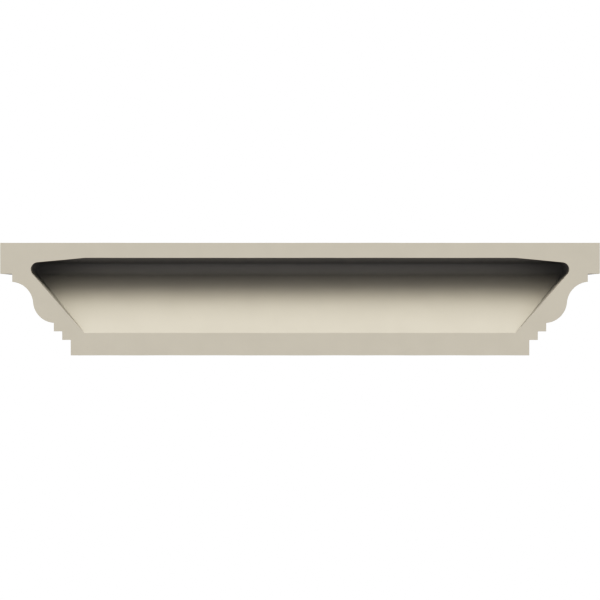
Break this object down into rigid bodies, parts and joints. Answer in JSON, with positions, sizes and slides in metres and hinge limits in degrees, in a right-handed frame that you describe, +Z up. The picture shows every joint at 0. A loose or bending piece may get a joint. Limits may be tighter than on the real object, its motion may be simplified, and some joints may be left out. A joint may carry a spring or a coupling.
{
  "type": "crosshead moulding",
  "caption": "Moulded head for over a door or window: a cornice section with steps, ogee, fillet and fascia, mitred returns and a hollow back.",
  "frame": {"origin": "on the wall side, in the middle of the strip of flat back under the hollow, half way along", "axes": "+X along the length, +Y out of the back into the wall, so that the front faces -Y, +Z up"},
  "size_m": [1.1956, 0.1684, 0.2249],
  "materials": {
    "primed_foam": "moulded rigid polyurethane foam with a matte warm beige factory primer"
  },
  "bodies": {
    "root": {"crosshead_moulding": "primed_foam"}
  },
  "joints": []
}
